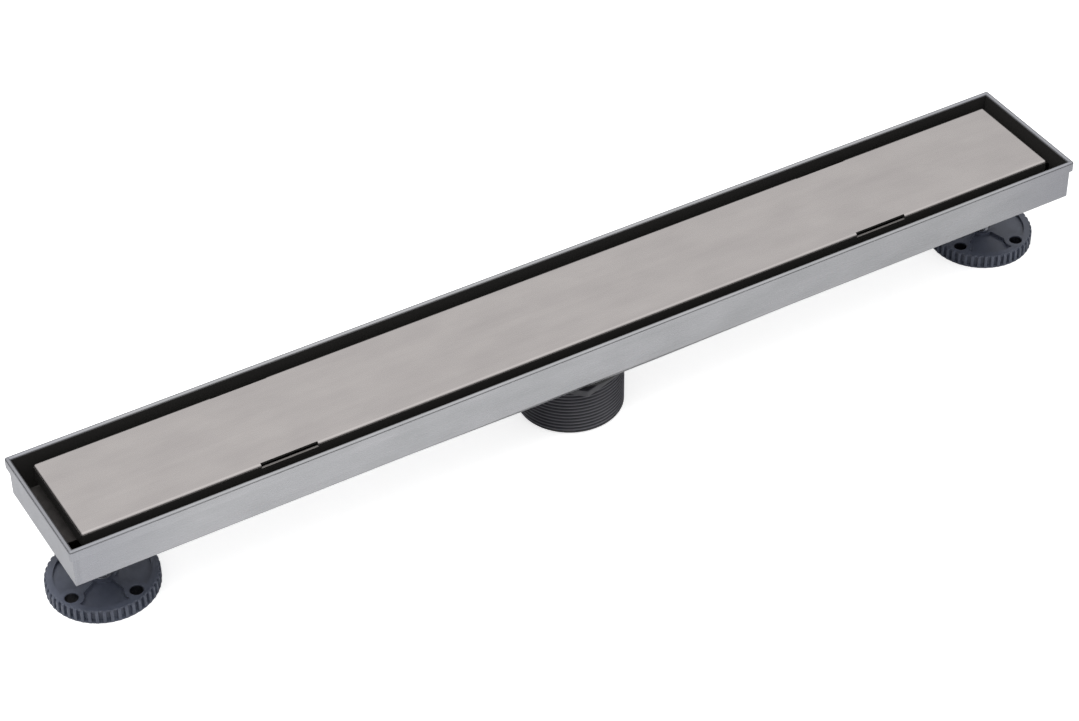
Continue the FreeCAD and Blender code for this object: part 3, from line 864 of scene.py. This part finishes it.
outlet = dress(make_outlet(), threaded_abs)
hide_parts("outlet_body")
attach(outlet, "drain")

disc = make_disc()
stud = make_stud()
for side, sign in (("left", -1), ("right", 1)):
    for model, part, material, slot in (
        (disc, "disc", slate_nylon, "foot_plastic"),
        (stud, "stud", thread_steel, "stud_steel"),
    ):
        piece = copy_of(model, "foot_%s_piece_%s" % (part, side))
        dress(move(piece, (sign * FOOT_X, 0, 0)), material)
        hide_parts("foot_%s_%s" % (part, side))
        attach(piece, "%s_%s" % (part, side))
for model in (disc, stud):
    bpy.data.objects.remove(model)

# Finishes of the pieces that keep their own solids

FINISHES = {
    "channel": channel_steel,
    "cover": cover_steel,
    "end_ledge_left": shaded_bracket_steel,
    "end_ledge_right": shaded_bracket_steel,
    "cover_bridge_left": shaded_bracket_steel,
    "cover_bridge_right": shaded_bracket_steel,
    "outlet_gasket": seal_rubber,
    "outlet_washer": grey_abs,
    "outlet_ring_nut": grey_abs,
    "hair_strainer": pressed_steel,
    "strainer_grip": pressed_steel,
    "foot_sleeve_left": thread_steel,
    "foot_sleeve_right": thread_steel,
    "foot_lock_nut_left": thread_steel,
    "foot_lock_nut_right": thread_steel,
}
for node, material in FINISHES.items():
    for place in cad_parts[node].material_slots:
        place.material = material

# Floor, light and camera

WHITE = (1, 1, 1, 1)
FLOOR_SIZE = 12.0
FLOOR_GREY = "#E6E6E6"
FLOOR_LIFT = 0.68


def make_floor():
    """A matt white sheet, lifted to the backdrop's white where the camera looks at it."""
    deselect()
    bpy.ops.mesh.primitive_plane_add(size=FLOOR_SIZE, location=(0, 0, 0))
    floor = bpy.context.object
    floor.name = "floor"
    material, tree, shader = new_material("white matt paper")
    to_camera = add_node(tree, "LightPath").outputs["Is Camera Ray"]
    fill(shader, {
        "Base Color": linear(FLOOR_GREY),
        "Roughness": 0.9,
        "Specular IOR Level": 0.0,
        "Emission Color": WHITE,
        "Emission Strength": add_node(tree, "Math", [to_camera, FLOOR_LIFT], operation="MULTIPLY"),
    })
    floor.data.materials.append(material)


HORIZON_LIGHT = 0.12
SKY_LIGHT = 1.0
SKY_RISE = (0.25, 0.54)
ZENITH_LIGHT = 0.3
ZENITH_RISE = (0.7, 0.95)
FRONT_LIGHT = 0.6
MATT_SHARE = 0.78


def make_world():
    """Bright overhead and darker towards the horizon, as in a studio; plain white to the camera.

    Metal and gloss mirror this sky. Matt surfaces get a share of it, and of a further light
    from the front, so that they render about as their colours are written.
    """
    world = bpy.data.worlds.new("studio")
    bpy.context.scene.world = world
    world.use_nodes = True
    tree = world.node_tree
    towards = split(tree, "Generated")
    walls = add_node(tree, "MapRange", [towards["Z"], *SKY_RISE, HORIZON_LIGHT, SKY_LIGHT])
    zenith = add_node(tree, "MapRange", [towards["Z"], *ZENITH_RISE, 0.0, ZENITH_LIGHT])
    front = add_node(tree, "MapRange", [towards["Y"], 0.0, -1.0, 0.0, FRONT_LIGHT])
    sky = add_node(tree, "Math", [walls, zenith], operation="ADD")
    shade = add_node(tree, "Math", [sky, front], operation="ADD")
    matt = add_node(tree, "Math", [shade, MATT_SHARE], operation="MULTIPLY")
    path = add_node(tree, "LightPath").outputs
    lit = add_node(tree, "Mix", [path["Is Glossy Ray"], matt, sky])
    seen = add_node(tree, "Math", [path["Is Camera Ray"], lit], operation="MAXIMUM")
    fill(tree.nodes["Background"], {"Color": WHITE, "Strength": seen})


LAMP_PLACE = Vector((-0.36, -0.12, 0.95))
LAMP_TARGET = Vector((-0.1, 0, 0.03))
LAMP_SIZE = (0.6, 0.4)
LAMP_WATTS = 6.8


def make_lamp():
    """A large soft lamp above the left end, which metal and gloss don't mirror."""
    lamp = bpy.data.lights.new("key softbox", "AREA")
    lamp.shape = "RECTANGLE"
    lamp.size, lamp.size_y = LAMP_SIZE
    lamp.energy = LAMP_WATTS
    box = bpy.data.objects.new("key softbox", lamp)
    bpy.context.collection.objects.link(box)
    box.location = LAMP_PLACE
    box.rotation_euler = (LAMP_TARGET - LAMP_PLACE).to_track_quat("-Z", "Y").to_euler()
    box.visible_glossy = False


CAMERA_PLACE = Vector((-0.6406, -1.0715, 1.0836))
CAMERA_RIGHT = Vector((0.86104, -0.50847, -0.00872))
CAMERA_UP = Vector((0.33421, 0.55286, 0.76331))
CAMERA_BACK = Vector((-0.38330, -0.66016, 0.64597))
SENSOR_MM = 36.0
LENS_MM = 101.57
CAMERA_REACH = 50


def make_camera():
    """The camera at the photograph's viewing angle, fitted to the rim, the cover and the feet."""
    camera = bpy.data.objects.new("camera", bpy.data.cameras.new("camera"))
    bpy.context.collection.objects.link(camera)
    camera.data.sensor_fit = "HORIZONTAL"
    camera.data.sensor_width = SENSOR_MM
    camera.data.lens = LENS_MM
    camera.data.clip_end = CAMERA_REACH
    axes = Matrix((CAMERA_RIGHT, CAMERA_UP, CAMERA_BACK)).transposed()
    camera.matrix_world = Matrix.Translation(CAMERA_PLACE) @ axes.to_4x4()
    bpy.context.scene.camera = camera


make_floor()
make_world()
make_lamp()
make_camera()
bpy.context.scene.view_settings.view_transform = "Standard"
